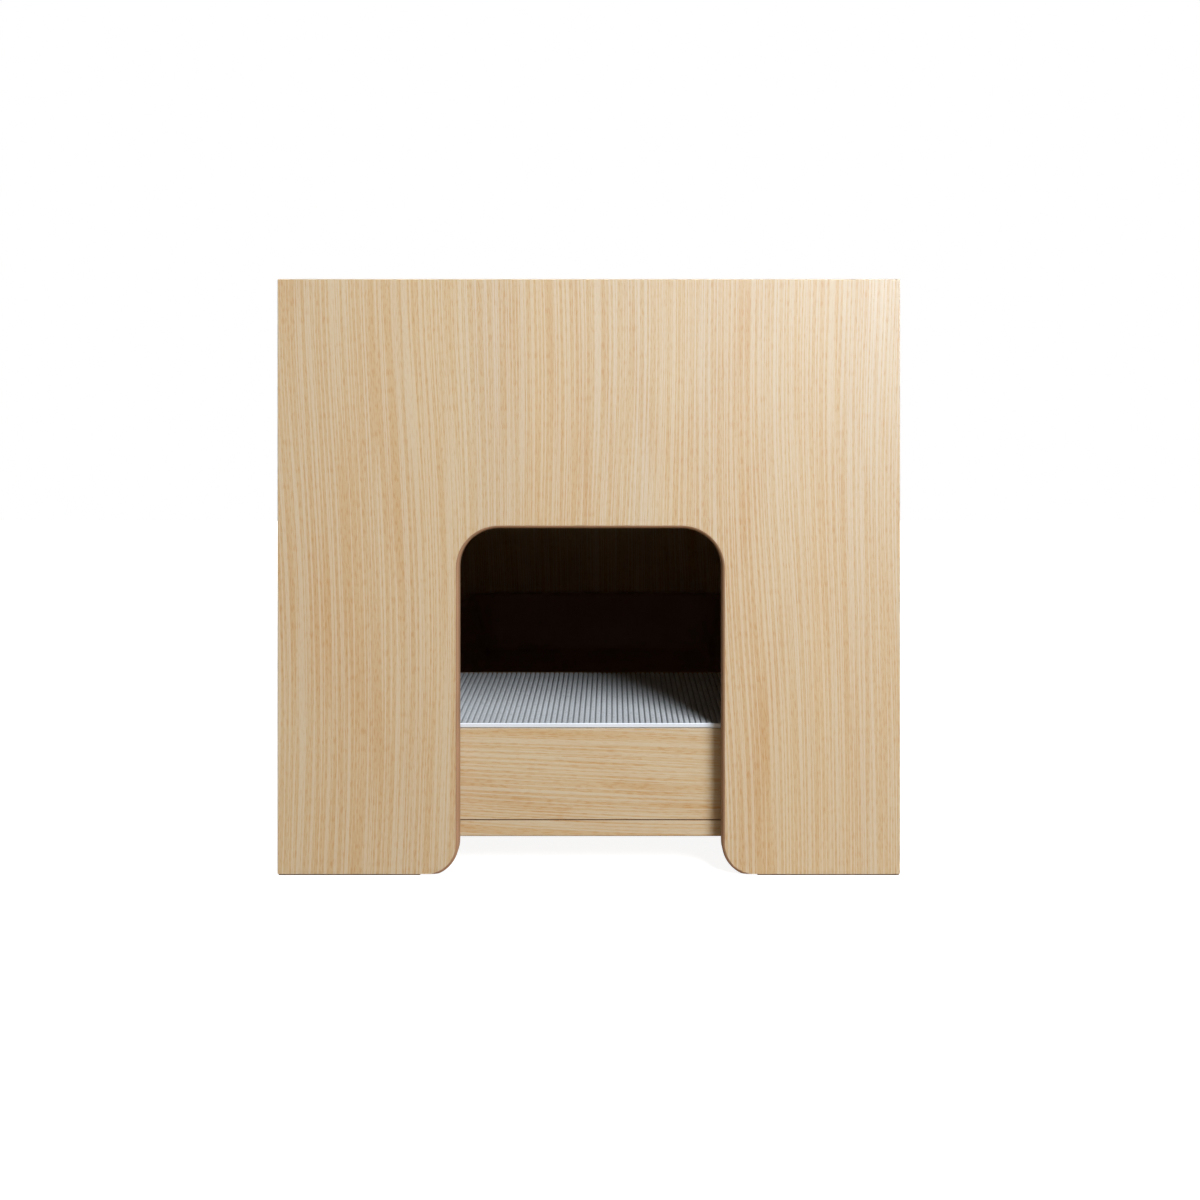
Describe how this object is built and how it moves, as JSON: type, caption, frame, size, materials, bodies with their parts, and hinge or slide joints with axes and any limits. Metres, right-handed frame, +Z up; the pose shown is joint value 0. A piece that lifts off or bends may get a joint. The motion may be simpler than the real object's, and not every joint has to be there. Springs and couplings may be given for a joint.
{
  "type": "cat litter box cabinet",
  "caption": "Oak-look board cabinet for a litter pan: arched cat entrance with a ribbed mat step, side doors on butt hinges with push latches.",
  "frame": {"origin": "on the floor, at the middle of the cabinet's footprint", "axes": "+Z up; the arched entrance faces -Y; the doors are on the +X side"},
  "size_m": [0.548, 0.7, 0.525],
  "materials": {
    "oak_laminate": "matte laminate with fine straight oak grain",
    "brown_edging": "satin plastic edging",
    "felt": "pressed felt",
    "ribbed_mat": "matte moulded plastic with fine ribs",
    "pan_plastic": "satin moulded plastic",
    "hinge_steel": "brushed",
    "latch_plastic": "satin",
    "cam_zinc": "die-cast zinc",
    "beech_dowel": "raw beech"
  },
  "bodies": {
    "cabinet": {"front_panel": "oak_laminate", "arch_lipping": "brown_edging", "rear_panel": "oak_laminate", "left_side_panel": "oak_laminate", "top_panel": "oak_laminate", "base_panel": "oak_laminate", "cam_lock_top_front_left": "cam_zinc", "cam_lock_top_front_right": "cam_zinc", "cam_lock_top_rear_left": "cam_zinc", "cam_lock_top_rear_right": "cam_zinc", "cam_lock_base_front_left": "cam_zinc", "cam_lock_base_front_right": "cam_zinc", "cam_lock_base_rear_left": "cam_zinc", "cam_lock_base_rear_right": "cam_zinc", "cam_bolt_top_front_left": "hinge_steel", "cam_bolt_top_front_right": "hinge_steel", "cam_bolt_top_rear_left": "hinge_steel", "cam_bolt_top_rear_right": "hinge_steel", "cam_bolt_base_front_left": "hinge_steel", "cam_bolt_base_front_right": "hinge_steel", "cam_bolt_base_rear_left": "hinge_steel", "cam_bolt_base_rear_right": "hinge_steel", "dowel_top_front": "beech_dowel", "dowel_top_rear": "beech_dowel", "dowel_base_front": "beech_dowel", "dowel_base_rear": "beech_dowel", "felt_foot_front_left": "felt", "felt_foot_front_right": "felt", "felt_foot_rear_left": "felt", "felt_foot_rear_right": "felt", "platform_front_board": "oak_laminate", "platform_rear_board": "oak_laminate", "platform_deck": "oak_laminate", "platform_end_left": "oak_laminate", "platform_end_right": "oak_laminate", "pan_cleat_left": "oak_laminate", "pan_cleat_right": "oak_laminate", "hinge_leaf_fixed_front_door_lower": "hinge_steel", "hinge_leaf_fixed_front_door_upper": "hinge_steel", "hinge_leaf_fixed_rear_door_lower": "hinge_steel", "hinge_leaf_fixed_rear_door_upper": "hinge_steel", "hinge_pin_front_door_lower": "hinge_steel", "hinge_pin_front_door_upper": "hinge_steel", "hinge_pin_rear_door_lower": "hinge_steel", "hinge_pin_rear_door_upper": "hinge_steel", "latch_housing_front": "latch_plastic", "latch_housing_rear": "latch_plastic"},
    "front_door": {"front_door": "oak_laminate", "hinge_leaf_front_door_lower": "hinge_steel", "hinge_leaf_front_door_upper": "hinge_steel", "strike_plate_front": "hinge_steel"},
    "rear_door": {"rear_door": "oak_laminate", "hinge_leaf_rear_door_lower": "hinge_steel", "hinge_leaf_rear_door_upper": "hinge_steel", "strike_plate_rear": "hinge_steel"},
    "front_latch_plunger": {"latch_plunger_front": "latch_plastic"},
    "rear_latch_plunger": {"latch_plunger_rear": "latch_plastic"},
    "litter_mat": {"litter_mat": "ribbed_mat"},
    "litter_pan": {"litter_pan": "pan_plastic"}
  },
  "joints": [
    {"name": "front_door_swing", "type": "hinge", "parent": "cabinet", "child": "front_door", "pos_m": [0.2713, -0.3321, 0], "axis": [0, 0, -1], "range_deg": [0, 100]},
    {"name": "rear_door_swing", "type": "hinge", "parent": "cabinet", "child": "rear_door", "pos_m": [0.2713, 0.3321, 0], "axis": [0, 0, 1], "range_deg": [0, 100]},
    {"name": "front_latch_press", "type": "slide", "parent": "cabinet", "child": "front_latch_plunger", "axis": [1, 0, 0], "range_m": [-0.003, 0], "stiffness_N_per_m": 400},
    {"name": "rear_latch_press", "type": "slide", "parent": "cabinet", "child": "rear_latch_plunger", "axis": [1, 0, 0], "range_m": [-0.003, 0], "stiffness_N_per_m": 400},
    {"name": "mat_lift", "type": "slide", "parent": "cabinet", "child": "litter_mat", "axis": [0, 0, 1], "range_m": [0, 0.08]},
    {"name": "pan_lift", "type": "slide", "parent": "cabinet", "child": "litter_pan", "axis": [0, 0, 1], "range_m": [0, 0.15]}
  ]
}
